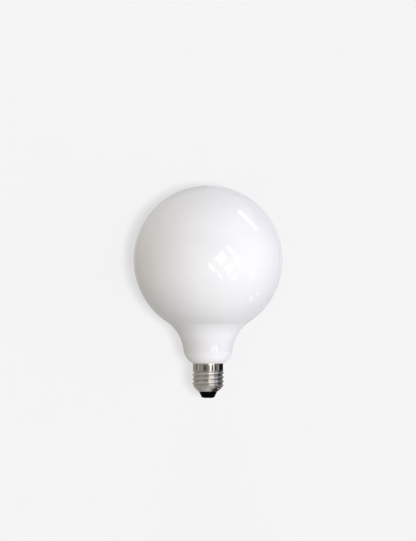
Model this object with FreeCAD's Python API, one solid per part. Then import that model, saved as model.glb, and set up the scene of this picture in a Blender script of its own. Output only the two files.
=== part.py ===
import FreeCAD, Part
import math
import os
from FreeCAD import Vector

# Globe bulb with a screw cap, in millimetres.
# The axis of the bulb is Z, the contact's face is at height zero and the globe is on top.

# Contact in the tip of the cap
contact_diameter = 7.0
contact_head_height = 0.8
contact_proud = 0.3
contact_edge_rounding = 0.2
contact_shank_diameter = 2.4
contact_shank_proud = 0.6
contact_clearance = 0.1

# Insulator: a cone outside the shell and a flange inside it, with the shell's lip between them
insulator_height = 5.1
insulator_tip_margin = 1.65
insulator_tip_rounding = 1.3
insulator_flange_drop = 1.2
insulator_clearance = 0.1

# Screw shell, rolled from sheet: lip, rounded shoulder, thread and plain collar
sheet_thickness = 0.3
lip_diameter = 15.9
lip_width = 1.35
lip_reveal = 0.35
shoulder_height = 3.9
shoulder_radius = 18.0
thread_length = 13.6
thread_major_diameter = 26.2
thread_depth = 1.096
thread_pitch = 3.629
thread_first_crest = 1.1
thread_runout = 0.2
collar_step = 0.65
collar_height = 6.2

# Globe: one blown envelope of ball, flared neck, rounded foot and a tail that seats in the collar
globe_diameter = 125.0
crease_diameter = 65.6
flare_height = 20.1
neck_run_height = 3.1
neck_diameter = 40.9
neck_taper = 10.5
foot_height = 10.5
foot_overhang = 0.4
tail_gap = 0.7
tail_clearance = 0.15
tail_rounding = 1.5

# Heights, added up from the contact's face
tip_z = contact_proud
lip_z = tip_z + insulator_height
shoulder_top_z = lip_z + shoulder_height
flange_top_z = shoulder_top_z - insulator_flange_drop
thread_top_z = shoulder_top_z + thread_length
tail_z = thread_top_z + tail_gap
rim_z = thread_top_z + collar_height
foot_top_z = rim_z + foot_height
flare_z = foot_top_z + neck_run_height
crease_z = flare_z + flare_height

# Radii of the cap, from the contact out to the thread and its collar
contact_radius = contact_diameter / 2
tip_radius = contact_radius + insulator_tip_margin
lip_radius = lip_diameter / 2
lip_hole_radius = lip_radius - lip_width
major_radius = thread_major_diameter / 2
root_radius = major_radius - thread_depth
collar_radius = root_radius + collar_step

# Thread form: equal arcs on crest and root, which meet at the steepest point of the flank
thread_rounding = thread_depth / 4 + thread_pitch**2 / (16 * thread_depth)
thread_flank = math.asin(thread_pitch / (4 * thread_rounding))


def point(radius, height):
    """A point of the half section that is turned about the axis."""
    return Vector(radius, 0, height)


def line(start, end):
    return Part.LineSegment(start, end).toShape()


def polyline(points):
    return [line(a, b) for a, b in zip(points, points[1:])]


def turned(edges):
    """The solid that a closed half section makes when it turns once about the axis."""
    face = Part.Face(Part.Wire(edges))
    return face.revolve(Vector(0, 0, 0), Vector(0, 0, 1), 360)


def rounded(solid, radius, height, rounding):
    """The solid with the circular edge of this radius and height rounded off."""

    def is_the_edge(edge):
        box = edge.BoundBox
        flat = abs(box.ZMin - height) < 1e-6 and abs(box.ZMax - height) < 1e-6
        return flat and abs(box.XMax - radius) < 1e-6

    edges = [edge for edge in solid.Edges if is_the_edge(edge)]
    return solid.makeFillet(rounding, edges).Solids[0]


def tangent_arc(start, end, direction):
    """The arc from start to end that leaves start along the direction."""
    side = Vector(direction.z, 0, -direction.x)
    chord = end - start
    centre = start + side * (chord.dot(chord) / (2 * chord.dot(side)))
    middle = (start - centre) + (end - centre)
    middle = middle.normalize() * (start - centre).Length
    return Part.Arc(start, centre + middle, end).toShape()


def contact():
    """Eyelet: a flat head in the insulator's tip and a shank up through it."""
    head = Part.makeCylinder(contact_radius, contact_head_height)
    head = rounded(head, contact_radius, 0, contact_edge_rounding)
    shank_z = contact_head_height / 2
    shank_length = flange_top_z + contact_shank_proud - shank_z
    shank = Part.makeCylinder(contact_shank_diameter / 2, shank_length, point(0, shank_z))
    return head.fuse(shank).removeSplitter()


def shoulder_centre():
    """Centre of the shoulder's arc, which runs from the shell's lip to the foot of the thread."""
    low = point(lip_radius, lip_z)
    high = point(root_radius, shoulder_top_z)
    chord = high - low
    inward = Vector(-chord.z, 0, chord.x).normalize()
    reach = math.sqrt(shoulder_radius**2 - (chord.Length / 2) ** 2)
    return (low + high) / 2 + inward * reach


def shoulder_reach(height, inset):
    """Radius of the shoulder at a height, on the sheet's outside or an inset within it."""
    centre = shoulder_centre()
    return centre.x + math.sqrt((shoulder_radius - inset) ** 2 - (height - centre.z) ** 2)


def insulator():
    """Moulded plug that holds the shell's lip between its cone and its flange."""
    seat_z = lip_z + sheet_thickness
    waist = lip_hole_radius - insulator_clearance
    flange_low = shoulder_reach(seat_z, sheet_thickness) - insulator_clearance
    flange_high = shoulder_reach(flange_top_z, sheet_thickness) - insulator_clearance
    outline = [
        point(0, tip_z),
        point(tip_radius, tip_z),
        point(lip_radius - lip_reveal, lip_z),
        point(waist, lip_z),
        point(waist, seat_z),
        point(flange_low, seat_z),
        point(flange_high, flange_top_z),
        point(0, flange_top_z),
        point(0, tip_z),
    ]
    plug = rounded(turned(polyline(outline)), tip_radius, tip_z, insulator_tip_rounding)
    recess = Part.makeCylinder(contact_radius + contact_clearance, contact_head_height)
    bore = Part.makeCylinder(contact_shank_diameter / 2 + contact_clearance, flange_top_z)
    return plug.cut([recess, bore])


def ridge_section(sunk):
    """Section of one thread ridge: flanks, and three flats that touch the arc of the crest."""
    quarter = thread_flank / 4
    arc_centre = major_radius - thread_rounding
    corner = thread_rounding / math.cos(quarter)
    crest = (major_radius, thread_rounding * math.tan(quarter))
    bevel = (arc_centre + corner * math.cos(3 * quarter), corner * math.sin(3 * quarter))
    half_foot = thread_pitch / 4 + (thread_depth / 2 + sunk) / math.tan(thread_flank)
    foot = (root_radius - sunk, half_foot)
    upper = [crest, bevel, foot]
    lower = [(radius, -height) for radius, height in reversed(upper)]
    loop = upper + lower + upper[:1]
    return Part.Wire(polyline([point(radius, height) for radius, height in loop]))


def thread():
    """The helical ridge, sunk halfway into the sheet and run out at both ends by 45 degree cones."""
    start_z = shoulder_top_z + thread_first_crest - thread_pitch
    height = thread_top_z + thread_pitch / 2 - start_z
    spine = Part.Wire(Part.makeHelix(thread_pitch, height, root_radius).Edges)
    ridge = spine.makePipeShell([ridge_section(sheet_thickness / 2)], True, True)
    ridge.translate(Vector(0, 0, start_z))
    low = root_radius - thread_runout
    high = collar_radius - thread_runout
    reach = thread_length + thread_pitch
    base = point(0, shoulder_top_z)
    lower_cone = Part.makeCone(low, low + reach, reach, base)
    upper_cone = Part.makeCone(high + thread_length, high - thread_pitch, reach, base)
    return ridge.common(lower_cone).common(upper_cone)


def shell_plug(inset):
    """The shell's outside without its thread as a full plug, or its inside at an inset."""
    floor_z = lip_z + inset
    root = root_radius - inset
    collar = collar_radius - inset
    step_top_z = thread_top_z + inset * math.tan(math.pi / 8)
    centre = shoulder_centre()
    arc_top_z = centre.z - math.sqrt((shoulder_radius - inset) ** 2 - (root - centre.x) ** 2)
    arc_middle_z = (floor_z + arc_top_z) / 2
    lip = point(shoulder_reach(floor_z, inset), floor_z)
    shoulder_middle = point(shoulder_reach(arc_middle_z, inset), arc_middle_z)
    shoulder_top = point(root, arc_top_z)
    outline = [
        shoulder_top,
        point(root, step_top_z - (collar - root)),
        point(collar, step_top_z),
        point(collar, rim_z + inset),
        point(0, rim_z + inset),
        point(0, floor_z),
        lip,
    ]
    shoulder = Part.Arc(lip, shoulder_middle, shoulder_top).toShape()
    return turned(polyline(outline) + [shoulder])


def screw_shell():
    """Thin shell with the thread on its outside, open at the rim and at the lip's hole."""
    hole = Part.makeCylinder(lip_hole_radius, shoulder_height, point(0, lip_z - sheet_thickness))
    return shell_plug(0).fuse(thread()).cut([shell_plug(sheet_thickness), hole])


def globe():
    """Blown envelope, closed and full, because nothing shows through it."""
    ball_radius = globe_diameter / 2
    crease_radius = crease_diameter / 2
    ball_z = crease_z + math.sqrt(ball_radius**2 - crease_radius**2)
    slope = math.radians(neck_taper)
    upward = Vector(math.sin(slope), 0, math.cos(slope))
    tail_radius = collar_radius - sheet_thickness - tail_clearance
    foot = point(collar_radius + foot_overhang, rim_z)
    foot_top = point(neck_diameter / 2, foot_top_z)
    flare_start = foot_top + upward * (neck_run_height / upward.z)
    crease = point(crease_radius, crease_z)
    crown = point(0, ball_z + ball_radius)
    inside = [crown, point(0, tail_z), point(tail_radius, tail_z), point(tail_radius, rim_z), foot]
    outside = [
        tangent_arc(foot_top, foot, -upward),
        line(foot_top, flare_start),
        tangent_arc(flare_start, crease, upward),
        Part.Arc(crease, point(ball_radius, ball_z), crown).toShape(),
    ]
    envelope = turned(polyline(inside) + outside)
    return rounded(envelope, tail_radius, tail_z, tail_rounding)


os.makedirs("parts", exist_ok=True)
for make in (contact, insulator, screw_shell, globe):
    solid = make().Solids[0]
    solid.exportStep(f"parts/{make.__name__}.step")
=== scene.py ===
"""Looks of the globe bulb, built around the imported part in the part's own frame, in metres."""

import cmath
import logging
import math
from collections.abc import Callable, Iterator, Sequence
from dataclasses import dataclass, field, replace
from enum import Enum
from functools import partial
from typing import Any

import bmesh
import bpy
from mathutils import Matrix, Vector


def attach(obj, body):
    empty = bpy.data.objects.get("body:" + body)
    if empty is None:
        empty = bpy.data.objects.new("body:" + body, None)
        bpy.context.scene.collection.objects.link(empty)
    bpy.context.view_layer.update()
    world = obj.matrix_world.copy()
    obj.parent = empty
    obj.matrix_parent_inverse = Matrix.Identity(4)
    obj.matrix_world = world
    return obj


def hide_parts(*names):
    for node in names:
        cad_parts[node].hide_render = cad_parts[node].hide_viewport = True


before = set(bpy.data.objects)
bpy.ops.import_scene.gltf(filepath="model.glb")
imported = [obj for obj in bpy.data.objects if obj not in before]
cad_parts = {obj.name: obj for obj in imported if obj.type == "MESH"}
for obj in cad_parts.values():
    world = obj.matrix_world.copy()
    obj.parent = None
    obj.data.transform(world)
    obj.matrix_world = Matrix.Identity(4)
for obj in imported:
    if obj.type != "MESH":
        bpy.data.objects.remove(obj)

Colour = tuple[float, float, float]
Point = complex
Corners = Sequence[tuple[float, float]]
Pixel = tuple[float, float]

MM = 0.001
log = logging.getLogger("globe_bulb")

# Sizes that more than one piece or finish takes, in millimetres, with heights over the contact's face
SHEET = 0.3
CLEARANCE = 0.1
CONTACT_RADIUS = 3.5
CONTACT_HEAD = 0.8
SHANK_RADIUS = 1.2
LIP = 5.4
LIP_HOLE = 6.6
SHOULDER_TOP = 9.3
THREAD_TOP = 22.9
THREAD_CREST = 13.1
THREAD_DEPTH = 1.096
COLLAR = 12.654
RIM = 29.1


class Slot(Enum):
    """The record's material slots, one for each piece of the bulb."""

    GLASS = "opal_glass"
    SHELL = "plated_shell"
    INSULATOR = "black_insulator"
    CONTACT = "contact_metal"


class Ray(Enum):
    """The kinds of ray that a thing of the studio can be seen by."""

    CAMERA = "visible_camera"
    DIFFUSE = "visible_diffuse"
    GLOSSY = "visible_glossy"
    TRANSMISSION = "visible_transmission"
    SHADOW = "visible_shadow"


def show_only_to(thing: bpy.types.Object, *rays: Ray) -> None:
    """Hides a thing of the studio from every kind of ray but these."""
    for ray in Ray:
        setattr(thing, ray.value, ray in rays)


def link_object(name: str, data: bpy.types.ID) -> bpy.types.Object:
    """Puts a mesh, a lamp or a camera into the scene.

    Args:
        name: the new object's name.
        data: what it shows.

    Returns:
        The new object, at the origin.
    """
    thing = bpy.data.objects.new(name, data)
    bpy.context.scene.collection.objects.link(thing)
    return thing


# Turned meshes


@dataclass(frozen=True)
class Row:
    """One ring of a turned surface, in millimetres.

    Attributes:
        radius: its distance from the axis.
        height: its height over the contact's face.
        swell: the radius at an angle about the axis, where the ring isn't a circle.
    """

    radius: float
    height: float
    swell: Callable[[float], float] | None = None

    def places(self, sides: int) -> Iterator[Vector]:
        """Goes round the ring.

        Args:
            sides: the number of points in a full ring.

        Yields:
            The ring's points in metres, or its one point if it lies on the axis.
        """
        if self.radius == 0:
            yield Vector((0, 0, self.height * MM))
            return
        for side in range(sides):
            angle = math.tau * side / sides
            radius = self.swell(angle) if self.swell else self.radius
            yield Vector((radius * math.cos(angle), radius * math.sin(angle), self.height)) * MM


def rows_of(points: Sequence[Point]) -> list[Row]:
    """Plain rows for the points of a half section, a radius and a height each."""
    return [Row(point.real, point.imag) for point in points]


def arc_centre(start: Point, end: Point, direction: Point) -> Point:
    """Finds the centre of the arc that leaves its start along a direction.

    Args:
        start: where the arc begins.
        end: where it ends.
        direction: the way that it sets out, of length one.

    Returns:
        The centre.
    """
    side = direction * -1j
    chord = end - start
    return start + side * abs(chord) ** 2 / (2 * (chord * side.conjugate()).real)


def arc(start: Point, end: Point, direction: Point, steps: int) -> list[Point]:
    """Samples the arc that leaves its start along a direction.

    Args:
        start: where the arc begins.
        end: where it ends.
        direction: the way that it sets out, of length one.
        steps: the number of its parts.

    Returns:
        The points after the start, up to the end.
    """
    centre = arc_centre(start, end, direction)
    sweep = cmath.phase((end - centre) / (start - centre))
    turns = [cmath.rect(1, sweep * step / steps) for step in range(1, steps + 1)]
    return [centre + (start - centre) * turn for turn in turns]


def eased(points: Sequence[Point], corners: dict[int, float], steps: int = 6) -> list[Point]:
    """Rounds some corners of a half section.

    Args:
        points: the section's points.
        corners: for the number of each corner, the length that its rounding takes of both sides.
        steps: the number of parts in a rounding.

    Returns:
        The section's points with the roundings.
    """
    made: list[Point] = []
    for number, corner in enumerate(points):
        if number not in corners:
            made.append(corner)
            continue
        before, after = points[number - 1], points[(number + 1) % len(points)]
        first = corner + (before - corner) / abs(before - corner) * corners[number]
        last = corner + (after - corner) / abs(after - corner) * corners[number]
        for step in range(steps + 1):
            along = step / steps
            made.append((1 - along) ** 2 * first + 2 * along * (1 - along) * corner + along**2 * last)
    return made


@dataclass(frozen=True)
class Turning:
    """A surface that runs from row to row and once round the bulb's axis.

    Attributes:
        rows: the rings, in order along the half section.
        closed: whether the last row joins the first.
        sides: the number of points in a ring.
        sharp: the angle in degrees from which an edge stays sharp.
    """

    rows: Sequence[Row]
    closed: bool = False
    sides: int = 240
    sharp: float = 34.0

    def build(self, name: str) -> bpy.types.Object:
        """Makes the mesh and its object.

        Args:
            name: the name of both.

        Returns:
            The new object, in the part's frame.
        """
        shape = bmesh.new()
        rings = [[shape.verts.new(place) for place in row.places(self.sides)] for row in self.rows]
        pairs = list(zip(rings, rings[1:]))
        if self.closed:
            pairs.append((rings[-1], rings[0]))
        for low, high in pairs:
            for side in range(self.sides):
                following = (side + 1) % self.sides
                quad = [low[side % len(low)], low[following % len(low)]]
                quad += [high[following % len(high)], high[side % len(high)]]
                shape.faces.new(list(dict.fromkeys(quad)))
        bmesh.ops.recalc_face_normals(shape, faces=shape.faces)
        mesh = bpy.data.meshes.new(name)
        shape.to_mesh(mesh)
        shape.free()
        mesh.shade_smooth()
        mesh.set_sharp_from_angle(angle=math.radians(self.sharp))
        return link_object(name, mesh)


# Node trees


@dataclass(frozen=True)
class Value:
    """A socket that Python's operators work on, each by a Math node of its own.

    Attributes:
        recipe: the node tree that the socket is in.
        socket: the output.
    """

    recipe: "Recipe"
    socket: bpy.types.NodeSocket

    def math(self, operation: str, *terms: "Value | float") -> "Value":
        """The result of a Math node with these inputs, in order."""
        node = self.recipe.node("ShaderNodeMath", {"operation": operation}, dict(enumerate(terms)))
        return Value(self.recipe, node.outputs[0])

    def __add__(self, other: "Value | float") -> "Value":
        """The sum of both."""
        return self.math("ADD", self, other)

    def __radd__(self, other: "Value | float") -> "Value":
        """The sum of both."""
        return self.math("ADD", other, self)

    def __sub__(self, other: "Value | float") -> "Value":
        """This less the other."""
        return self.math("SUBTRACT", self, other)

    def __rsub__(self, other: "Value | float") -> "Value":
        """The other less this."""
        return self.math("SUBTRACT", other, self)

    def __mul__(self, other: "Value | float") -> "Value":
        """The product of both."""
        return self.math("MULTIPLY", self, other)

    def __rmul__(self, other: "Value | float") -> "Value":
        """The product of both."""
        return self.math("MULTIPLY", other, self)

    def __pow__(self, exponent: float) -> "Value":
        """This to a power."""
        return self.math("POWER", self, exponent)

    def sine(self) -> "Value":
        """The sine of this, in radians."""
        return self.math("SINE", self)

    def at_least(self, other: "Value | float") -> "Value":
        """The larger of both."""
        return self.math("MAXIMUM", self, other)


@dataclass(frozen=True)
class Cloud:
    """A cloudy pattern of a finish.

    Attributes:
        scale: the number of its clouds in a metre.
        detail: the number of finer layers in it.
        limits: the noise where the pattern is still zero and where it is one, or nothing for plain noise.
    """

    scale: float
    detail: float = 2.0
    limits: tuple[float, float] | None = None


class Recipe:
    """The node tree of one material, or of the world, that starts empty."""

    def __init__(self, tree: bpy.types.NodeTree) -> None:
        """Takes the tree to fill and empties it."""
        self.tree = tree
        tree.nodes.clear()

    def node(
        self,
        kind: str,
        settings: dict[str, Any] | None = None,
        sockets: dict[str | int, Any] | None = None,
    ) -> bpy.types.Node:
        """Adds one node.

        Args:
            kind: the node's type.
            settings: its own settings, which are set first.
            sockets: a value or a link for inputs, by name or number.

        Returns:
            The new node.
        """
        node = self.tree.nodes.new(kind)
        for name, setting in (settings or {}).items():
            setattr(node, name, setting)
        for name, content in (sockets or {}).items():
            if isinstance(content, Value):
                self.tree.links.new(content.socket, node.inputs[name])
            else:
                node.inputs[name].default_value = content
        return node

    def output(
        self,
        kind: str,
        settings: dict[str, Any] | None = None,
        sockets: dict[str | int, Any] | None = None,
        socket: str | int = 0,
    ) -> Value:
        """One output, by name or number, of a new node that is made as by node()."""
        return Value(self, self.node(kind, settings, sockets).outputs[socket])

    def place(self) -> Value:
        """The place on the object, in metres."""
        return self.output("ShaderNodeTexCoord", socket="Object")

    def stretched(self, scale: tuple[float, float, float]) -> Value:
        """The place on the object, with each axis times its own scale."""
        factors = {0: self.place(), 1: scale}
        return self.output("ShaderNodeVectorMath", {"operation": "MULTIPLY"}, factors)

    def axis(self, letter: str) -> Value:
        """One coordinate of the place on the object, in metres."""
        return self.output("ShaderNodeSeparateXYZ", sockets={0: self.place()}, socket=letter)

    def radius(self) -> Value:
        """The distance from the bulb's axis, in metres."""
        return (self.axis("X") ** 2 + self.axis("Y") ** 2) ** 0.5

    def cloud(self, cloud: Cloud, place: Value | None = None) -> Value:
        """Adds a cloudy pattern.

        Args:
            cloud: the pattern.
            place: where it is read, or nothing for the place on the object.

        Returns:
            The pattern, from zero to one.
        """
        sockets = {"Vector": place or self.place(), "Scale": cloud.scale, "Detail": cloud.detail}
        noise = self.output("ShaderNodeTexNoise", sockets=sockets)
        return self.step(noise, *cloud.limits) if cloud.limits else noise

    def step(self, value: Value, start: float, end: float) -> Value:
        """A soft step, which is zero up to the start and one from the end on."""
        limits = {"Value": value, "From Min": start, "From Max": end}
        return self.output("ShaderNodeMapRange", {"interpolation_type": "SMOOTHSTEP"}, limits)

    def tint(self, share: Value, first: "Colour | Value", second: Colour) -> Value:
        """The blend of two colours, with this share of the second one."""
        full = [colour if isinstance(colour, Value) else (*colour, 1.0) for colour in (first, second)]
        return self.output("ShaderNodeMix", {"data_type": "RGBA"}, {0: share, 6: full[0], 7: full[1]}, 2)

    def bump(self, height: Value, distance: float, strength: float = 1.0) -> Value:
        """The normal of a relief whose full height is this distance in metres."""
        relief = {"Height": height, "Distance": distance, "Strength": strength}
        return self.output("ShaderNodeBump", sockets=relief, socket="Normal")

    def principled(self, sockets: dict[str | int, Any]) -> Value:
        """The shader of a real surface with these inputs."""
        return self.output("ShaderNodeBsdfPrincipled", sockets=sockets)


# Finishes


@dataclass(frozen=True)
class Finish:
    """A surface finish, of which each kind fills its own node tree.

    Attributes:
        name: the material's name.
    """

    name: str

    def shader(self, recipe: Recipe) -> Value:
        """The finish's shader in an empty tree."""
        raise NotImplementedError

    def material(self) -> bpy.types.Material:
        """Makes the finish's material.

        Returns:
            The material.
        """
        material = bpy.data.materials.new(self.name)
        material.use_nodes = True
        recipe = Recipe(material.node_tree)
        recipe.node("ShaderNodeOutputMaterial", sockets={"Surface": self.shader(recipe)})
        return material


@dataclass(frozen=True)
class OpalGlass(Finish):
    """Glossy white glass that is flashed with milk and a little wavy from blowing.

    Attributes:
        milk: the colour where the flashing is heavy.
        thin: the colour where it is thinner.
        drawn: the colour in the neck, darker than the milk as painted shade.
        foot_painted_light: the colour in the foot, paler than the milk as painted light bounced up from the
            cap.
        neck: the heights where the neck's painted shade begins and is full, and where it ends again, in
            metres.
        foot: the heights where the foot's painted light begins to end and has ended, in metres.
        gloss: the roughness of the clean glass.
        haze: the roughness that handling adds.
        wave: the height of the waves, in metres.
        ior: how strongly the glass bends light.
        flashing: where the milk is thick.
        handling: where hands have touched the glass.
        waves: the waves from blowing.
    """

    name: str = "opal_glass"
    milk: Colour = (0.905, 0.903, 0.895)
    thin: Colour = (0.872, 0.872, 0.868)
    drawn: Colour = (0.815, 0.812, 0.805)
    foot_painted_light: Colour = (0.94, 0.938, 0.933)
    neck: tuple[float, float, float, float] = (37.0 * MM, 40.0 * MM, 44.0 * MM, 53.0 * MM)
    foot: tuple[float, float] = (33.0 * MM, 37.5 * MM)
    gloss: float = 0.004
    haze: float = 0.014
    wave: float = 0.05 * MM
    ior: float = 1.46
    flashing: Cloud = Cloud(19.0, 3.0, (0.3, 0.7))
    handling: Cloud = Cloud(95.0, 4.0, (0.42, 0.75))
    waves: Cloud = Cloud(38.0, 1.0)

    def shader(self, recipe: Recipe) -> Value:
        """Adds the glass's shader.

        Args:
            recipe: the empty tree.

        Returns:
            The shader.
        """
        height = recipe.axis("Z")
        # Painted shade: the neck under the ball is given the darker drawn colour.
        neck = recipe.step(height, *self.neck[:2]) - recipe.step(height, *self.neck[2:])
        # Painted light: the foot is given a paler colour, as if lit by light bounced up from the cap.
        foot = 1 - recipe.step(height, *self.foot)
        flashed = recipe.tint(recipe.cloud(self.flashing), self.thin, self.milk)
        body = recipe.tint(neck, flashed, self.drawn)
        return recipe.principled(
            {
                "Base Color": recipe.tint(foot, body, self.foot_painted_light),
                "Roughness": self.gloss + self.haze * recipe.cloud(self.handling),
                "IOR": self.ior,
                "Normal": recipe.bump(recipe.cloud(self.waves), self.wave),
            }
        )


@dataclass(frozen=True)
class PlatedSheet(Finish):
    """Nickel on rolled sheet, bright on the collar and duller in the thread, with dirt and painted shade in
    its roots.

    Attributes:
        bright: the colour of clean plating.
        dull: the colour of dirt and painted shade in the thread's roots.
        polish: the roughness of the collar.
        drawn: the roughness that rolling adds to the thread.
        even: the share of that which is the same all over.
        lined: the share of it that follows the drawn lines.
        smear: the roughness that clouds of handling add.
        thread_foot: the heights between which the thread's dullness begins, in metres.
        thread_end: the heights between which the marks of rolling end, in metres.
        flank: the radii of the thread's roots and crests, in metres.
        line_stretch: how much finer the drawn lines are along each axis.
        line_height: the height of the drawn lines, in metres.
        line_share: the share of their relief that shows.
        lines: the drawn lines.
        clouds: the clouds of handling.
        root_dirt_and_shade: the noise in the clouds where the roots' dirt and painted shade begin and are
            full.
    """

    name: str = "plated_shell"
    bright: Colour = (0.69, 0.665, 0.62)
    dull: Colour = (0.45, 0.425, 0.385)
    polish: float = 0.055
    drawn: float = 0.08
    even: float = 0.55
    lined: float = 0.9
    smear: float = 0.05
    thread_foot: tuple[float, float] = (SHOULDER_TOP * MM, (SHOULDER_TOP + 0.8) * MM)
    thread_end: tuple[float, float] = ((THREAD_TOP - 0.4) * MM, (THREAD_TOP + 0.2) * MM)
    flank: tuple[float, float] = ((THREAD_CREST - THREAD_DEPTH) * MM, THREAD_CREST * MM)
    line_stretch: tuple[float, float, float] = (90.0, 90.0, 5200.0)
    line_height: float = 0.012 * MM
    line_share: float = 0.5
    lines: Cloud = Cloud(1.0)
    clouds: Cloud = Cloud(260.0, 3.0)
    root_dirt_and_shade: tuple[float, float] = (0.2, 0.75)

    def shader(self, recipe: Recipe) -> Value:
        """Adds the plating's shader.

        Args:
            recipe: the empty tree.

        Returns:
            The shader.
        """
        height = recipe.axis("Z")
        under_collar = 1 - recipe.step(height, *self.thread_end)
        rolled = under_collar * recipe.step(height, *self.thread_foot)
        groove = (1 - recipe.step(recipe.radius(), *self.flank)) * rolled
        lines = recipe.cloud(self.lines, recipe.stretched(self.line_stretch))
        clouds = recipe.cloud(self.clouds)
        # Painted shade: the thread's roots are darkened in clouds, partly as dirt and partly as the shade
        # that falls in them.
        root_dirt_and_shade = groove * recipe.step(clouds, *self.root_dirt_and_shade)
        rolling = self.drawn * under_collar * (self.even + self.lined * lines)
        return recipe.principled(
            {
                "Base Color": recipe.tint(root_dirt_and_shade, self.bright, self.dull),
                "Metallic": 1.0,
                "Roughness": self.polish + rolling + self.smear * clouds,
                "Normal": recipe.bump(lines, self.line_height, self.line_share),
            }
        )


@dataclass(frozen=True)
class BlackMoulding(Finish):
    """Glossy black moulding with a skin that is faintly uneven.

    Attributes:
        black: the colour of the moulding.
        worn: the colour where it is rubbed.
        gloss: the least roughness.
        uneven: the roughness that the skin adds.
        shine: how much light the skin mirrors, where 0.5 is plain plastic.
        relief: the height of the skin's unevenness, in metres.
        relief_share: the share of that relief that shows.
        skin: the unevenness of the skin.
        rubbing: where the moulding is rubbed.
    """

    name: str = "black_insulator"
    black: Colour = (0.0005, 0.0005, 0.0006)
    worn: Colour = (0.0018, 0.0018, 0.0019)
    gloss: float = 0.16
    uneven: float = 0.16
    shine: float = 0.03
    relief: float = 0.03 * MM
    relief_share: float = 0.6
    skin: Cloud = Cloud(900.0, 3.0)
    rubbing: Cloud = Cloud(420.0, 4.0, (0.5, 0.8))

    def shader(self, recipe: Recipe) -> Value:
        """Adds the moulding's shader.

        Args:
            recipe: the empty tree.

        Returns:
            The shader.
        """
        skin = recipe.cloud(self.skin)
        return recipe.principled(
            {
                "Base Color": recipe.tint(recipe.cloud(self.rubbing), self.black, self.worn),
                "Roughness": self.gloss + self.uneven * skin,
                "Specular IOR Level": self.shine,
                "Normal": recipe.bump(skin, self.relief, self.relief_share),
            }
        )


@dataclass(frozen=True)
class TinnedContact(Finish):
    """Tinned eyelet with fine rings from turning and stains from soldering.

    Attributes:
        tin: the colour of clean tin.
        stain: the colour of the stains.
        ring_pitch: the distance between two rings, in metres.
        ring_height: the height of the rings, in metres.
        ring_share: the share of their relief that shows.
        gloss: the roughness of clean tin.
        ring_haze: the roughness that the rings add.
        soot_haze: the roughness that the stains add.
        soot: where the stains are.
    """

    name: str = "contact_metal"
    tin: Colour = (0.64, 0.62, 0.575)
    stain: Colour = (0.36, 0.31, 0.235)
    ring_pitch: float = 0.11 * MM
    ring_height: float = 0.006 * MM
    ring_share: float = 0.7
    gloss: float = 0.24
    ring_haze: float = 0.06
    soot_haze: float = 0.14
    soot: Cloud = Cloud(620.0, 4.0, (0.45, 0.75))

    def shader(self, recipe: Recipe) -> Value:
        """Adds the contact's shader.

        Args:
            recipe: the empty tree.

        Returns:
            The shader.
        """
        rings = (recipe.radius() * (math.tau / self.ring_pitch)).sine() * 0.5 + 0.5
        soot = recipe.cloud(self.soot)
        return recipe.principled(
            {
                "Base Color": recipe.tint(soot, self.tin, self.stain),
                "Metallic": 1.0,
                "Roughness": self.gloss + self.soot_haze * soot + self.ring_haze * rings,
                "Normal": recipe.bump(rings, self.ring_height, self.ring_share),
            }
        )


# Pieces of the bulb


@dataclass
class Piece:
    """One real piece of the bulb, which stands for one node of the part.

    Attributes:
        name: the piece's name.
        node: the part's node that it stands for.
        slot: the record's slot that its finish belongs to, which is not used.
        finish: what it is dressed in.
    """

    name: str
    node: str
    slot: Slot
    finish: Finish

    def turning(self) -> Turning:
        """The surface of the piece."""
        raise NotImplementedError

    def build(self) -> bpy.types.Object:
        """Builds the piece, dresses it and puts it in its node's place.

        Returns:
            The piece.
        """
        piece = self.turning().build(self.name)
        piece.data.materials.append(self.finish.material())
        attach(piece, "root")
        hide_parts(self.node)
        return piece


@dataclass
class Contact(Piece):
    """Eyelet in the tip of the cap, in millimetres.

    Attributes:
        head_radius: the radius of its head.
        head_height: the thickness of its head.
        edge: the rounding of its edge.
        shank_radius: the radius of its shank.
        top: the height of the shank's end.
        groove_radius: the radius of the pressed ring in its face.
        groove_depth: the depth of that ring.
        groove_reach: how far the ring goes to each side of its radius.
        groove_ease: the length that the rounding of the ring's edges takes of both sides.
        groove_floor: the length that the rounding of its floor takes.
        shank_edge: the length that the rounding of the shank's end takes.
    """

    name: str = "contact_eyelet"
    node: str = "contact"
    slot: Slot = Slot.CONTACT
    finish: Finish = field(default_factory=TinnedContact)
    head_radius: float = CONTACT_RADIUS
    head_height: float = CONTACT_HEAD
    edge: float = 0.2
    shank_radius: float = SHANK_RADIUS
    top: float = 8.7
    groove_radius: float = 1.5
    groove_depth: float = 0.08
    groove_reach: float = 0.35
    groove_ease: float = 0.12
    groove_floor: float = 0.2
    shank_edge: float = 0.15

    def turning(self) -> Turning:
        """Makes the eyelet's surface, from the middle of its face to the end of its shank.

        Returns:
            The surface.
        """
        points = [
            0j,
            complex(self.groove_radius - self.groove_reach, 0),
            complex(self.groove_radius, self.groove_depth),
            complex(self.groove_radius + self.groove_reach, 0),
            complex(self.head_radius, 0),
            complex(self.head_radius, self.head_height),
            complex(self.shank_radius, self.head_height),
            complex(self.shank_radius, self.top),
            complex(0, self.top),
        ]
        corners = {
            1: self.groove_ease,
            2: self.groove_floor,
            3: self.groove_ease,
            4: self.edge,
            7: self.shank_edge,
        }
        return Turning(rows_of(eased(points, corners)))


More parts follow.
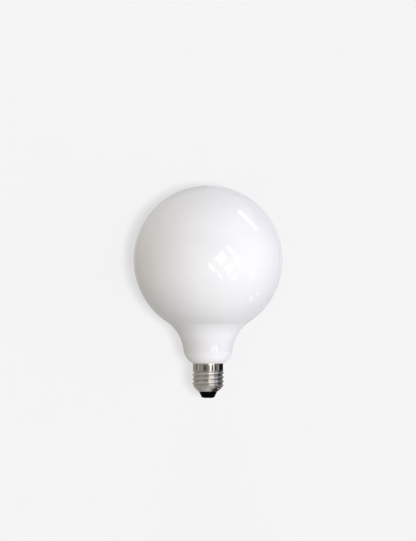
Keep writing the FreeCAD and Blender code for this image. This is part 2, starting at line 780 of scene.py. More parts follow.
@dataclass
class Insulator(Piece):
    """Black plug between the contact and the shell, in millimetres.

    Attributes:
        tip: the height of its tip.
        tip_radius: the radius of its tip.
        tip_edge: the length that the tip's rounding takes of both sides.
        lip: the height of the shell's lip on it.
        top_radius: the radius of its cone under the lip.
        waist: its radius inside the lip's hole.
        seat: the height of the lip's inner side.
        flange_low: the flange's radius on the lip.
        flange_high: the flange's radius at its top.
        top: the height of its top.
        recess_radius: the radius of the contact's recess.
        recess: the height of the recess's floor.
        recess_edge: the length that the rounding of the recess's edge takes of both sides.
        top_edge: the length that the rounding of the cone's edge under the lip takes.
        bore: the radius of the hole for the contact's shank.
    """

    name: str = "insulator_plug"
    node: str = "insulator"
    slot: Slot = Slot.INSULATOR
    finish: Finish = field(default_factory=BlackMoulding)
    tip: float = 0.3
    tip_radius: float = 5.15
    tip_edge: float = 0.82
    lip: float = LIP
    top_radius: float = 7.6
    waist: float = LIP_HOLE - CLEARANCE
    seat: float = LIP + SHEET
    flange_low: float = 7.76
    flange_high: float = 10.5
    top: float = 8.1
    recess_radius: float = CONTACT_RADIUS + CLEARANCE
    recess: float = CONTACT_HEAD
    recess_edge: float = 0.12
    top_edge: float = 0.15
    bore: float = SHANK_RADIUS + CLEARANCE

    def turning(self) -> Turning:
        """Makes the plug's surface, once round its half section.

        Returns:
            The surface.
        """
        points = [
            complex(self.bore, self.recess),
            complex(self.recess_radius, self.recess),
            complex(self.recess_radius, self.tip),
            complex(self.tip_radius, self.tip),
            complex(self.top_radius, self.lip),
            complex(self.waist, self.lip),
            complex(self.waist, self.seat),
            complex(self.flange_low, self.seat),
            complex(self.flange_high, self.top),
            complex(self.bore, self.top),
        ]
        corners = {2: self.recess_edge, 3: self.tip_edge, 4: self.top_edge}
        return Turning(rows_of(eased(points, corners, steps=10)), closed=True)


@dataclass
class ScrewShell(Piece):
    """Rolled shell of the cap with its thread, in millimetres.

    Attributes:
        sheet: the thickness of the sheet.
        hole_radius: the radius of the hole in the lip.
        lip_radius: the radius of the lip's outer edge.
        lip_edge: the length that the rounding of that edge takes of both sides.
        lip: the height of the lip.
        shoulder_radius: the radius of the shoulder's arc.
        shoulder_steps: the number of the arc's parts.
        shoulder_top: the height where the thread begins.
        thread_top: the height where the collar begins.
        rim: the height of the rim.
        rim_edge: the length that the rounding of the rim's edges takes of both sides.
        crest: the thread's radius over its crests.
        depth: the depth of the thread.
        pitch: the thread's rise in one turn.
        first_crest: the height of the first crest over the shoulder, at no angle.
        runout: how far inside the roots and the collar the thread runs out.
        collar: the radius of the collar.
        collar_start: how far over the thread's last row the collar's first row is.
        blend: the width over which the thread's run-out is eased.
        row_height: the distance of the thread's rows.
    """

    name: str = "rolled_shell"
    node: str = "screw_shell"
    slot: Slot = Slot.SHELL
    finish: Finish = field(default_factory=PlatedSheet)
    sheet: float = SHEET
    hole_radius: float = LIP_HOLE
    lip_radius: float = 7.95
    lip_edge: float = 0.2
    lip: float = LIP
    shoulder_radius: float = 18.0
    shoulder_steps: int = 20
    shoulder_top: float = SHOULDER_TOP
    thread_top: float = THREAD_TOP
    rim: float = RIM
    rim_edge: float = 0.08
    crest: float = THREAD_CREST
    depth: float = THREAD_DEPTH
    pitch: float = 3.629
    first_crest: float = 1.1
    runout: float = 0.2
    collar: float = COLLAR
    collar_start: float = 0.15
    blend: float = 0.22
    row_height: float = 0.1

    @property
    def root(self) -> float:
        """The thread's radius in its roots."""
        return self.crest - self.depth

    def knuckle(self, offset: float) -> float:
        """The radius of the rounded thread.

        Args:
            offset: the height over the nearest crest.

        Returns:
            The radius on the crest's arc or on the root's.
        """
        bend = self.depth / 4 + self.pitch**2 / (16 * self.depth)
        if abs(offset) < self.pitch / 4:
            return self.crest - bend + math.sqrt(bend**2 - offset**2)
        return self.root + bend - math.sqrt(bend**2 - (self.pitch / 2 - abs(offset)) ** 2)

    def plain(self, height: float) -> float:
        """The shell's radius at a height without its thread."""
        return max(self.root, self.collar - max(0.0, self.thread_top - height))

    def softest(self, first: float, second: float, sign: int) -> float:
        """The larger of two radii, or with sign -1 the smaller, with the corner between them eased."""
        near = max(0.0, self.blend - abs(first - second)) ** 2 / (4 * self.blend)
        return max(first * sign, second * sign) * sign + near * sign

    def threaded(self, height: float, angle: float) -> float:
        """The shell's radius with the thread.

        Args:
            height: the height.
            angle: the angle about the axis.

        Returns:
            The radius, inside the crests.
        """
        from_crest = height - self.shoulder_top - self.first_crest - self.pitch * angle / math.tau
        ridge = self.knuckle((from_crest + self.pitch / 2) % self.pitch - self.pitch / 2)
        start = self.root - self.runout + height - self.shoulder_top
        end = self.collar - self.runout + self.thread_top - height
        ridge = self.softest(ridge, min(start, end), -1)
        return min(self.crest, self.softest(ridge, self.plain(height), 1))

    def shoulder(self, inset: float) -> list[Point]:
        """Samples the shoulder's arc from the lip to the thread.

        Args:
            inset: the distance inside the sheet's outer face.

        Returns:
            The arc's points.
        """
        low, high = complex(self.lip_radius, self.lip), complex(self.root, self.shoulder_top)
        chord = high - low
        reach = math.sqrt(self.shoulder_radius**2 - (abs(chord) / 2) ** 2)
        centre = (low + high) / 2 + chord / abs(chord) * 1j * reach
        bend = self.shoulder_radius - inset
        first = math.asin((self.lip + inset - centre.imag) / bend)
        last = -math.acos((self.root - inset - centre.real) / bend)
        turn = (last - first) / self.shoulder_steps
        angles = [first + turn * step for step in range(self.shoulder_steps + 1)]
        return [centre + cmath.rect(bend, angle) for angle in angles]

    def thread_rows(self) -> list[Row]:
        """Makes the rows of the thread.

        Returns:
            The rows, from just over the shoulder to the foot of the collar.
        """
        length = self.thread_top - self.shoulder_top
        count = round(length / self.row_height)
        heights = [self.shoulder_top + length * step / count for step in range(1, count + 1)]
        return [Row(self.plain(height), height, partial(self.threaded, height)) for height in heights]

    def turning(self) -> Turning:
        """Makes the shell's surface, up its outside and down its inside.

        Returns:
            The surface.
        """
        hole = complex(self.hole_radius, self.lip)
        lip = eased([hole, *self.shoulder(0)], {1: self.lip_edge}, steps=4)
        inside = self.collar - self.sheet
        # The step to the collar rises by 45 degrees, and half that angle sets off its inner corner
        step_top = self.thread_top + self.sheet * math.tan(math.pi / 8)
        rim = [
            complex(self.collar, self.thread_top + self.collar_start),
            complex(self.collar, self.rim),
            complex(inside, self.rim),
            complex(inside, step_top),
            complex(self.root - self.sheet, step_top - self.collar + self.root),
            *reversed(self.shoulder(self.sheet)),
            complex(self.hole_radius, self.lip + self.sheet),
        ]
        collar = eased(rim, {1: self.rim_edge, 2: self.rim_edge}, steps=4)
        return Turning(rows_of(lip) + self.thread_rows() + rows_of(collar), closed=True, sharp=50.0)


@dataclass
class Globe(Piece):
    """Blown envelope of ball, flared neck and rounded foot, in millimetres.

    Attributes:
        ball_radius: the radius of the ball.
        ball_steps: the number of parts in the ball's arc.
        crease_radius: the radius of the crease under the ball.
        crease: the height of the crease.
        crease_ease: the length that the crease's rounding takes of both sides.
        ball_room: how many such lengths the ball's arc stops short of the crease.
        flare_room: the number of the flare's last points that make room for the rounding.
        flare: the height where the flare leaves the neck.
        flare_steps: the number of parts in the flare's arc.
        foot_top: the height where the foot begins.
        foot_steps: the number of parts in the foot's arc.
        neck_radius: the neck's radius where the foot begins.
        taper: the slope of the neck, in degrees.
        rim: the height of the foot's rest on the shell.
        foot_radius: the radius of the foot on the rim.
        foot_edge: the length that the rounding of the foot's edge takes of both sides.
        tail: the height of the tail's end.
        tail_radius: the tail's radius inside the collar.
        tail_edge: the rounding of the tail's end.
    """

    name: str = "blown_globe"
    node: str = "globe"
    slot: Slot = Slot.GLASS
    finish: Finish = field(default_factory=OpalGlass)
    ball_radius: float = 62.5
    ball_steps: int = 150
    crease_radius: float = 32.8
    crease: float = 62.8
    crease_ease: float = 1.1
    ball_room: float = 1.4
    flare_room: int = 3
    flare: float = 42.7
    flare_steps: int = 40
    foot_top: float = 39.6
    foot_steps: int = 24
    neck_radius: float = 20.45
    taper: float = 10.5
    rim: float = RIM
    foot_radius: float = COLLAR + 0.4
    foot_edge: float = 0.25
    tail: float = THREAD_TOP + 0.7
    tail_radius: float = COLLAR - SHEET - 0.15
    tail_edge: float = 1.5

    def upward(self) -> Point:
        """The way up the side of the neck, of length one."""
        return cmath.rect(1, math.pi / 2 - math.radians(self.taper))

    def ball_centre(self) -> float:
        """The height of the ball's centre."""
        return self.crease + math.sqrt(self.ball_radius**2 - self.crease_radius**2)

    def knots(self) -> tuple[Point, Point, Point, Point]:
        """Finds where the parts of the half section meet.

        Returns:
            The foot on its rest, the foot's top, the neck's top and the crease.
        """
        upward = self.upward()
        foot_top = complex(self.neck_radius, self.foot_top)
        flare = foot_top + upward * ((self.flare - self.foot_top) / upward.imag)
        return complex(self.foot_radius, self.rim), foot_top, flare, complex(self.crease_radius, self.crease)

    def side(self, height: float) -> tuple[float, float]:
        """Finds the outside of the glass at a height.

        Args:
            height: the height.

        Returns:
            The glass's radius there, and how far up it faces, in radians.
        """
        foot, foot_top, flare, crease = self.knots()
        if self.foot_top < height < self.flare:
            rise = -math.radians(self.taper)
            return self.neck_radius - (height - self.foot_top) * math.tan(rise), rise
        if height <= self.foot_top:
            centre = arc_centre(foot_top, foot, -self.upward())
            bend = abs(foot_top - centre)
        elif height < self.crease:
            # The flare is hollow, so its bend counts as less than nothing
            centre = arc_centre(flare, crease, self.upward())
            bend = -abs(flare - centre)
        else:
            centre = complex(0, self.ball_centre())
            bend = self.ball_radius
        rise = math.asin((height - centre.imag) / bend)
        return centre.real + bend * math.cos(rise), rise

    def ball(self) -> list[Point]:
        """Samples the ball from its crown to just over the crease.

        Returns:
            The ball's points.
        """
        centre = self.ball_centre()
        last = math.acos((self.crease - centre) / self.ball_radius)
        last -= self.ball_room * self.crease_ease / self.ball_radius
        turn = last / self.ball_steps
        angles = [math.pi / 2 - turn * step for step in range(self.ball_steps + 1)]
        return [complex(0, centre) + cmath.rect(self.ball_radius, angle) for angle in angles]

    def turning(self) -> Turning:
        """Makes the envelope's surface, from its crown to the middle of its tail.

        Returns:
            The surface.
        """
        foot, foot_top, flare, crease = self.knots()
        ball = self.ball()
        flared = arc(flare, crease, self.upward(), self.flare_steps)[: -self.flare_room]
        below = [*reversed(flared), flare, foot_top]
        sleeve = [
            *arc(foot_top, foot, -self.upward(), self.foot_steps),
            complex(self.tail_radius, self.rim),
            complex(self.tail_radius, self.tail),
            complex(0, self.tail),
        ]
        points = [complex(0, ball[0].imag), *ball[1:], crease, *below, *sleeve]
        corners = {
            len(ball): self.crease_ease,
            len(points) - 4: self.foot_edge,
            len(points) - 2: self.tail_edge,
        }
        return Turning(rows_of(eased(points, corners, steps=8)))


# Studio


WHITE: Colour = (1.0, 1.0, 1.0)
CREAM: Colour = (1.0, 0.985, 0.95)
WARM: Colour = (1.0, 0.96, 0.91)
COOL: Colour = (0.955, 0.965, 1.0)
LILAC: Colour = (0.72, 0.745, 1.0)
STRAW: Colour = (1.0, 0.93, 0.72)
OLIVE: Colour = (1.0, 0.97, 0.86)
ROSE: Colour = (1.0, 0.92, 0.85)

# The brightness of the room's floor in reflections
FLOOR_LIGHT = 0.43
# The width of the flat parts that a round wall is made of, in degrees
WALL_FACET = 8.0


def toward(azimuth: float, elevation: float) -> Vector:
    """The way, of length one, to degrees right of the camera and over the horizon."""
    turn, rise = math.radians(azimuth), math.radians(elevation)
    return Vector((math.sin(turn) * math.cos(rise), -math.cos(turn) * math.cos(rise), math.sin(rise)))


@dataclass(frozen=True)
class Glow(Finish):
    """Even light of a card that only reflections see.

    Attributes:
        colour: the colour of the light.
        strength: how bright it is, where 1 is white.
        clear: whether what stands behind the card shows through it.
        front_only: whether a clear card glows on its front only.
    """

    name: str = "card"
    colour: Colour = WHITE
    strength: float = 1.0
    clear: bool = True
    front_only: bool = False

    def shader(self, recipe: Recipe) -> Value:
        """Adds the card's shader.

        Args:
            recipe: the empty tree.

        Returns:
            The shader.
        """
        light = recipe.output("ShaderNodeEmission", sockets={0: (*self.colour, 1.0), 1: self.strength})
        if not self.clear:
            return light
        behind = recipe.output("ShaderNodeBsdfTransparent")
        both = recipe.output("ShaderNodeAddShader", sockets={0: light, 1: behind})
        if not self.front_only:
            return both
        back = recipe.output("ShaderNodeNewGeometry", socket="Backfacing")
        return recipe.output("ShaderNodeMixShader", sockets={0: back, 1: both, 2: behind})


@dataclass(frozen=True)
class Paper(Finish):
    """Pale paper of the backdrop and the floor, seen from its front only.

    Attributes:
        level: how bright the paper is where no shadow falls.
        shade: the share of that which the shadow takes.
        grain: how much of its light the paper throws back.
        mottle: the share by which the fibres change that.
        strays: the light on the paper from the world and the other lamps.
        fibres: the pattern of the fibres.
    """

    name: str = "pale_paper"
    level: float = 0.905
    shade: float = 0.21
    grain: float = 0.05
    mottle: float = 0.02
    strays: float = 0.052
    fibres: Cloud = Cloud(40.0)

    def lamp_strength(self) -> float:
        """The strength of the sun that throws the shadow."""
        return self.level * self.shade * math.pi / self.grain

    def shader(self, recipe: Recipe) -> Value:
        """Adds the paper's shader.

        Args:
            recipe: the empty tree.

        Returns:
            The shader.
        """
        dark, pale = ((self.grain * (1 + sign * self.mottle),) * 3 for sign in (-1, 1))
        tone = recipe.tint(recipe.cloud(self.fibres), dark, pale)
        lit = recipe.output("ShaderNodeBsdfDiffuse", sockets={"Color": tone})
        steady = self.level * (1 - self.shade) - self.strays
        glow = recipe.output("ShaderNodeEmission", sockets={"Strength": steady})
        front = recipe.output("ShaderNodeAddShader", sockets={0: glow, 1: lit})
        back = recipe.output("ShaderNodeBsdfTransparent")
        behind = recipe.output("ShaderNodeNewGeometry", socket="Backfacing")
        return recipe.output("ShaderNodeMixShader", sockets={0: behind, 1: front, 2: back})


@dataclass(frozen=True)
class Lamp:
    """A sun that is wide enough for soft light.

    Attributes:
        name: the lamp's name.
        azimuth: where it stands, in degrees to the right of the camera.
        elevation: where it stands, in degrees over the horizon.
        strength: its strength.
        colour: its colour.
        spread: its width, in degrees.
    """

    name: str
    azimuth: float
    elevation: float
    strength: float
    colour: Colour = WHITE
    spread: float = 50.0

    def hang(self) -> bpy.types.Object:
        """Puts the lamp into the scene, where no reflection shows it.

        Returns:
            The lamp.
        """
        sun = bpy.data.lights.new(self.name, "SUN")
        sun.energy = self.strength
        sun.color = self.colour
        sun.angle = math.radians(self.spread)
        lamp = link_object(self.name, sun)
        lamp.rotation_euler = toward(self.azimuth, self.elevation).to_track_quat("Z", "Y").to_euler()
        lamp.visible_glossy = False
        return lamp


def stand_card(
    places: Sequence[Vector],
    finish: Glow,
    seen_in: bpy.types.Collection | None = None,
    faces: Sequence[Sequence[int]] | None = None,
) -> None:
    """Puts a glowing sheet into the scene that only reflections see.

    Args:
        places: its corners.
        finish: its light.
        seen_in: the pieces that reflect its light, or nothing for all of them.
        faces: the numbers of the corners of each face, or nothing for one face of all corners.
    """
    mesh = bpy.data.meshes.new(finish.name)
    mesh.from_pydata(places, [], faces or [range(len(places))])
    mesh.materials.append(finish.material())
    sheet = link_object(finish.name, mesh)
    sheet.light_linking.receiver_collection = seen_in
    show_only_to(sheet, Ray.GLOSSY)


@dataclass(frozen=True)
class Card:
    """A flat card that only reflections see.

    Attributes:
        name: the card's name.
        corners: the azimuth and the elevation of each corner as the bulb sees it, in degrees.
        strength: how bright it is, where 1 is white.
        distance: how far off it is, in metres.
        clear: whether what stands behind it shows through it.
    """

    name: str
    corners: Corners
    strength: float
    distance: float = 2.4
    clear: bool = True

    def stand(self, aim: Vector, seen_in: bpy.types.Collection) -> None:
        """Puts the card into the scene, by directions from the aim, for these pieces to reflect."""
        places = [aim + toward(*corner) * self.distance for corner in self.corners]
        stand_card(places, Glow(self.name, strength=self.strength, clear=self.clear), seen_in)


@dataclass(frozen=True)
class Sight:
    """A line of sight after the globe has mirrored it.

    Attributes:
        start: where it leaves the globe.
        way: the way that it goes on, of length one.
    """

    start: Vector
    way: Vector

    def at_depth(self, depth: float) -> Vector:
        """The line's point that is this far in front of the bulb's axis."""
        return self.start - self.way * ((depth + self.start.y) / self.way.y)

    def at_distance(self, aim: Vector, distance: float) -> Vector:
        """Finds the line's point at a distance from the aim.

        Args:
            aim: the aim.
            distance: the distance from it, which is more than that of the globe's surface.

        Returns:
            The point.
        """
        offset = self.start - aim
        half = offset.dot(self.way)
        return self.start + self.way * (math.sqrt(half**2 - offset.length_squared + distance**2) - half)


@dataclass(frozen=True)
class Glint:
    """A card that stands where the globe shows it at these pixels of the photograph.

    Attributes:
        name: the card's name.
        pixels: the column and the row of each corner of its reflection in the photograph.
        strength: how bright it is, where 1 is white.
        distance: how far off its corners are, in metres.
    """

    name: str
    pixels: Sequence[Pixel]
    strength: float
    distance: float = 2.4

    def stand(self, sights: Sequence[Sight], aim: Vector, seen_in: bpy.types.Collection) -> None:
        """Puts the card into the scene, a corner on each line of sight, for these pieces to reflect."""
        places = [sight.at_distance(aim, self.distance) for sight in sights]
        stand_card(places, Glow(self.name, strength=self.strength), seen_in)


@dataclass(frozen=True)
class Pane(Glint):
    """A pane of the window, so near that the globe's rim doesn't show it from behind."""

    strength: float = 2.8
    distance: float = 0.09


@dataclass(frozen=True)
class Slip:
    """A small upright card close in front of the neck that only the neck reflects.

    Attributes:
        name: the card's name.
        pixels: the column and the row of each corner of its reflection in the photograph.
        strength: how bright it is, where 1 is white.
        depth: how far in front of the axis it stands, in millimetres.
    """

    name: str
    pixels: Sequence[Pixel]
    strength: float = 4.5
    depth: float = 26.5

    def stand(self, sights: Sequence[Sight], seen_in: bpy.types.Collection) -> None:
        """Puts the card into the scene, a corner on each line of sight, with its front to the neck."""
        places = [sight.at_depth(self.depth * MM) for sight in sights]
        stand_card(places, Glow(self.name, strength=self.strength, front_only=True), seen_in)


@dataclass(frozen=True)
class Panel:
    """An upright strip of the studio's walls that only reflections see.

    Attributes:
        start: where it begins, in degrees to the right of the camera.
        end: where it ends.
        strength: how bright it is, where 1 is white.
        colour: its colour.
        distance: how far off it is, in metres.
    """

    start: float
    end: float
    strength: float
    colour: Colour = CREAM
    distance: float = 3.0

    def stand(self, low: float, high: float, seen_in: bpy.types.Collection) -> None:
        """Puts the strip into the scene.

        Args:
            low: the height of its lower edge.
            high: the height of its upper edge.
            seen_in: the pieces that reflect it.
        """
        count = max(1, round((self.end - self.start) / WALL_FACET))
        places: list[Vector] = []
        for step in range(count + 1):
            way = toward(self.start + (self.end - self.start) * step / count, 0) * self.distance
            places += [Vector((way.x, way.y, height)) for height in (low, high)]
        faces = [(first, first + 2, first + 3, first + 1) for first in range(0, 2 * count, 2)]
        name = f"wall_{self.start:.0f}".replace("-", "minus_")
        stand_card(places, Glow(name, self.colour, self.strength), seen_in, faces)


def group(name: str, things: Sequence[bpy.types.Object]) -> bpy.types.Collection:
    """Makes a collection that lamps and cards are limited to.

    Args:
        name: the collection's name.
        things: what is in it.

    Returns:
        The collection, which isn't linked to the scene.
    """
    collection = bpy.data.collections.new(name)
    for thing in things:
        collection.objects.link(thing)
    return collection


@dataclass
class Studio:
    """Pale paper, soft lamps, cards for reflections and the camera, in metres.

    Attributes:
        globe: the globe that mirrors lines of sight.
        paper: the finish of the backdrop and the floor.
        backdrop: how far behind the axis the backdrop stands.
        floor: the height of the floor.
        reach: how far the papers go to each side.
        ambient: how bright the world is for soft light.
        eye: the height of the camera.
        distance: how far off the camera is.
        picture: the picture's width and height, in pixels.
        scale: the pixels in a metre at the bulb's axis.
        axis_column: the column of the bulb's axis in the photograph.
        foot_row: the row of the contact's face in the photograph.
        sight_steps: how many times the point where a line of sight meets the globe is corrected.
        lamps: the lamps that light the bulb.
        paper_suns: the name, azimuth, elevation and spread of the suns whose shadows the papers show.
        room: the heights of the lower and upper edge of the room round the studio.
        room_radius: how far off the room's sides are.
        room_sides: the number of its sides.
        room_light: how bright its sides are in reflections.
        level: the heights between which the cap's collar sees the walls.
        deep: the height under which only the cap's shoulder sees them.
        glass_walls: the walls that the glass reflects.
        collar_walls: the walls at the level of the cap, which it reflects.
        high_walls: the walls over them.
        low_light: how bright each of these is again under the cap's level.
        deep_walls: the lowest walls, which the shoulder reflects.
        glints: a window's panes and small lamps that the glass reflects.
        glass_cards: a board on the floor that looks like the floor to the glass and dark to the cap.
        neck_slips: the small cards that only the neck reflects.
        cap_cards: the lamps that the cap reflects.
    """

    globe: Globe
    paper: Paper = field(default_factory=Paper)
    backdrop: float = 0.078
    floor: float = -0.24
    reach: float = 2.0
    ambient: float = 0.26
    eye: float = 0.1072
    distance: float = 8.0
    picture: tuple[int, int] = (416, 541)
    scale: float = 1190.0
    axis_column: float = 208.1
    foot_row: float = 398.1
    sight_steps: int = 8
    lamps: Sequence[Lamp] = (
        Lamp("front_fill", 0.0, -8.0, 1.38, (1.0, 0.985, 0.96)),
        Lamp("right_key", 50.0, -3.0, 1.76, (0.865, 0.87, 1.0)),
        Lamp("right_rim", 110.0, 15.0, 0.53, (0.9, 0.98, 1.0)),
        Lamp("left_rim", -120.0, 40.0, 0.88, (1.0, 0.92, 0.83), 70.0),
        Lamp("top_rim", 180.0, 60.0, 0.78, (0.68, 0.78, 1.0), 70.0),
        Lamp("top_fill", 0.0, 85.0, 0.12, (0.97, 0.98, 1.0), 60.0),
        Lamp("back_fill", 166.0, 5.0, 0.75, (1.0, 0.99, 0.97), 40.0),
    )
    paper_suns: Sequence[tuple[str, float, float, float]] = (
        ("backdrop_sun", 5.5, -1.3, 6.5),
        ("floor_sun", 0.0, 90.0, 20.0),
    )
    room: tuple[float, float] = (-5.5, 2.6)
    room_radius: float = 3.05
    room_sides: int = 36
    room_light: float = 0.012
    level: tuple[float, float] = (-0.5, 0.36)
    deep: float = -1.6
    glass_walls: Sequence[Panel] = (
        Panel(-180, -150, 0.55),
        Panel(-150, -120, 0.42),
        Panel(-120, -60, 0.34),
        Panel(-60, 60, 0.3),
        Panel(60, 130, 0.2, COOL),
        Panel(130, 150, 0.5, COOL),
        Panel(150, 180, 0.74, COOL),
    )
    collar_walls: Sequence[Panel] = (
        Panel(-180, -106, 0.34, OLIVE),
        Panel(-106, -94, 0.15, OLIVE),
        Panel(-94, -87, 0.28, ROSE),
        Panel(-87, -74, 0.45, ROSE),
        Panel(-74, -35, 0.31, OLIVE),
        Panel(-35, -17, 0.07, STRAW),
        Panel(-17, -1, 0.2, OLIVE),
        Panel(-1, 15, 0.37, STRAW),
        Panel(15, 26, 2.2, COOL),
        Panel(26, 38, 0.05),
        Panel(38, 51, 0.95),
        Panel(51, 63, 0.02, COOL),
        Panel(63, 79, 0.18, COOL),
        Panel(79, 95, 0.33, COOL),
    )
    high_walls: Sequence[Panel] = (
        Panel(-180, -120, 0.75),
        Panel(-120, -95, 0.42),
        Panel(-95, -76, 0.37, ROSE),
        Panel(-76, 5, 0.4),
        Panel(5, 51, 2.1, COOL),
        Panel(51, 61, 0.2, COOL),
        Panel(61, 84, 1.15, LILAC),
        Panel(84, 110, 0.03, COOL),
        Panel(110, 180, 0.32, COOL),
    )
    low_light: Sequence[float] = (0.85, 0.52, 0.47, 0.5, 1.0, 0.2, 0.9, 0.03, 0.3)
    deep_walls: Sequence[Panel] = (
        Panel(-180, -70, 0.34),
        Panel(-70, 5, 0.46),
        Panel(5, 51, 0.9, COOL),
        Panel(51, 80, 0.48, COOL),
        Panel(80, 105, 0.26, COOL),
        Panel(105, 158, 0.02, COOL),
        Panel(158, 180, 0.26, COOL),
    )
    glints: Sequence[Glint] = (
        Pane("pane_left_1", ((207.3, 264.9), (210.3, 262.3), (216.6, 269.8), (213.5, 272.7))),
        Pane("pane_left_2", ((216.4, 273.6), (218.6, 272.2), (223.9, 278.2), (221.8, 279.6))),
        Pane("pane_middle_1", ((214.2, 258.2), (222.2, 250.7), (227.5, 257.6), (221.2, 266.0))),
        Pane("pane_middle_2", ((224.0, 268.5), (228.0, 263.8), (234.0, 264.6), (228.2, 275.6))),
        Pane("pane_middle_3", ((230.3, 278.3), (234.8, 272.6), (237.2, 275.4), (235.4, 280.1))),
        Pane("pane_right_1", ((226.2, 247.6), (229.0, 245.6), (235.2, 253.2), (231.6, 254.6))),
        Pane("pane_right_2", ((232.2, 256.4), (236.4, 255.2), (239.8, 259.6), (237.6, 268.2))),
        Glint(
            "strip_light",
            (
                (237.4, 212.8),
                (240.2, 210.1),
                (246.2, 214.6),
                (248.7, 218.9),
                (257.1, 227.7),
                (254.5, 230.2),
            ),
            3.4,
        ),
        Glint("side_lamp", ((250.8, 276.6), (252.6, 271.8), (255.2, 274.2), (253.6, 278.8)), 2.2),
        Glint("low_lamp_1", ((249.6, 300.6), (250.8, 296.2), (252.6, 296.8), (251.4, 302.2)), 2.4),
        Glint("low_lamp_2", ((256.2, 294.6), (257.8, 291.2), (259.4, 292.6), (258.2, 296.0)), 2.1),
    )
    neck_slips: Sequence[Slip] = (
        Slip("neck_slip_left", ((213.0, 345.6), (214.8, 345.6), (211.9, 351.6), (210.1, 351.2))),
        Slip("neck_slip_right", ((215.6, 345.4), (217.7, 345.4), (217.4, 351.8), (215.4, 351.6))),
    )
    glass_cards: Sequence[Card] = (
        Card(
            "floor_board",
            ((98.0, -67.5), (112.0, -62.0), (150.0, -62.0), (150.0, -67.5)),
            FLOOR_LIGHT,
            clear=False,
        ),
    )
    cap_cards: Sequence[Card] = (
        Card("under_lamp", ((-75.0, -82.6), (75.0, -82.6), (130.0, -80.8), (-130.0, -80.8)), 0.5),
        Card("shoulder_spot", ((135.0, -42.3), (135.0, -39.5), (139.0, -39.5), (139.0, -42.3)), 5.5),
    )

    def world(self) -> None:
        """Sets the world: pale to the camera and in reflections, plain soft light elsewhere."""
        world = bpy.data.worlds.new("studio")
        world.use_nodes = True
        recipe = Recipe(world.node_tree)
        rays = recipe.node("ShaderNodeLightPath")
        camera, glossy, clear = (
            Value(recipe, rays.outputs[name])
            for name in ("Is Camera Ray", "Is Glossy Ray", "Is Transmission Ray")
        )
        soft = recipe.output("ShaderNodeBackground", sockets={0: (*WARM, 1.0), 1: self.ambient})
        pale = recipe.output("ShaderNodeBackground", sockets={0: (*WHITE, 1.0), 1: self.paper.level})
        seen = camera.at_least(glossy).at_least(clear)
        mixed = recipe.output("ShaderNodeMixShader", sockets={0: seen, 1: soft, 2: pale})
        recipe.node("ShaderNodeOutputWorld", sockets={"Surface": mixed})
        bpy.context.scene.world = world

    def sheet(self, name: str, place: Matrix) -> bpy.types.Object:
        """Hangs or lays one sheet of paper.

        Args:
            name: the sheet's name.
            place: its place, with its front along its own Z axis.

        Returns:
            The sheet.
        """
        mesh = bpy.data.meshes.new(name)
        reach = self.reach
        corners = [(-reach, -reach, 0), (reach, -reach, 0), (reach, reach, 0), (-reach, reach, 0)]
        mesh.from_pydata(corners, [], [range(4)])
        mesh.materials.append(self.paper.material())
        sheet = link_object(name, mesh)
        sheet.matrix_world = place
        return sheet

    def papers(self) -> None:
        """Sets up the backdrop and the floor, and the two suns whose shadows they show."""
        upright = Matrix.Rotation(math.radians(90), 4, "X")
        backdrop = self.sheet("backdrop", Matrix.Translation((0, self.backdrop, 0)) @ upright)
        floor = self.sheet("floor", Matrix.Translation((0, 0, self.floor)))
        show_only_to(backdrop, Ray.CAMERA)
        show_only_to(floor, Ray.CAMERA)
        receivers = group("papers", [backdrop, floor])
        strength = self.paper.lamp_strength()
        for name, azimuth, elevation, spread in self.paper_suns:
            sun = Lamp(name, azimuth, elevation, strength, spread=spread)
            sun.hang().light_linking.receiver_collection = receivers

    def far_room(self) -> None:
        """Stands up the dark room round the studio, with a paler floor."""
        count = self.room_sides
        ring = [toward(360 * side / count, 0) * self.room_radius for side in range(count)]
        low, high = ([Vector((way.x, way.y, height)) for way in ring] for height in self.room)
        pairs = [(side, (side + 1) % count) for side in range(count)]
        faces = [(side, following, following + count, side + count) for side, following in pairs]
        stand_card(low + high, Glow("room_sides", strength=self.room_light, clear=False), faces=faces)
        stand_card(low, Glow("room_floor", strength=FLOOR_LIGHT, clear=False))

    def sight(self, pixel: Pixel) -> Sight:
        """Follows the line of sight through a pixel to the globe, which mirrors it.

        Args:
            pixel: the column and the row in the photograph.

        Returns:
            The line from the globe on.
        """
        column, row = pixel
        eye = Vector((0, -self.distance, self.eye))
        line = Vector((column - self.axis_column, 0, self.foot_row - row)) / self.scale - eye
        place = eye + line
        for _ in range(self.sight_steps):
            radius, rise = self.globe.side(place.z / MM)
            depth = math.sqrt((radius * MM) ** 2 - place.x**2)
            place = eye + line * (1 - depth / self.distance)
        normal = Vector((place.x, place.y, radius * MM * math.tan(rise)))
        return Sight(place, line.normalized().reflect(normal))

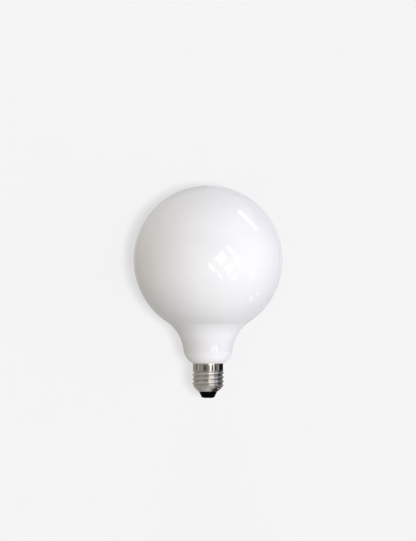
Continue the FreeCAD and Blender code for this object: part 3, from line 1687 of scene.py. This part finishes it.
    def surroundings(self, glass: bpy.types.Collection, cap: bpy.types.Collection) -> None:
        """Stands up the room, and the walls and cards that the glass or the cap reflects.

        Args:
            glass: the pieces of glass.
            cap: the pieces of the cap.
        """
        self.far_room()
        aim = Vector((0, 0, self.eye))
        bottom, top = self.room
        low_walls = [replace(wall, strength=light) for wall, light in zip(self.high_walls, self.low_light)]
        for walls, limits, pieces in (
            (self.glass_walls, self.room, glass),
            (self.collar_walls, self.level, cap),
            (self.high_walls, (self.level[1], top), cap),
            (low_walls, (self.deep, self.level[0]), cap),
            (self.deep_walls, (bottom, self.deep), cap),
        ):
            for wall in walls:
                wall.stand(*limits, pieces)
        for glint in self.glints:
            glint.stand([self.sight(pixel) for pixel in glint.pixels], aim, glass)
        for cards, pieces in ((self.glass_cards, glass), (self.cap_cards, cap)):
            for card in cards:
                card.stand(aim, pieces)
        for slip in self.neck_slips:
            slip.stand([self.sight(pixel) for pixel in slip.pixels], glass)

    def camera(self) -> None:
        """Sets up the camera, straight from the side and from far off."""
        lens = bpy.data.cameras.new("camera")
        lens.lens = lens.sensor_width * self.distance * self.scale / max(self.picture)
        camera = link_object("camera", lens)
        camera.location = (0, -self.distance, self.eye)
        camera.rotation_euler = (math.radians(90), 0, 0)
        bpy.context.scene.camera = camera

    def build(self, glass: Sequence[bpy.types.Object], cap: Sequence[bpy.types.Object]) -> None:
        """Sets up the whole studio.

        Args:
            glass: the pieces of glass.
            cap: the pieces of the cap.
        """
        self.world()
        self.papers()
        self.surroundings(group("glass", glass), group("cap", cap))
        for lamp in self.lamps:
            lamp.hang()
        self.camera()
        bpy.context.scene.view_settings.view_transform = "Standard"


def main() -> None:
    """Builds the bulb's pieces in order, then the studio."""
    logging.basicConfig(level=logging.INFO, format="%(name)s: %(message)s")
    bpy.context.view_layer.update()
    globe = Globe()
    made: dict[str, bpy.types.Object] = {}
    for piece in (Contact(), Insulator(), ScrewShell(), globe):
        made[piece.node] = piece.build()
        log.info("%s for node %s, %d faces", piece.name, piece.node, len(made[piece.node].data.polygons))
    glass = made.pop(globe.node)
    Studio(globe).build([glass], list(made.values()))


if __name__ == "__main__":
    main()
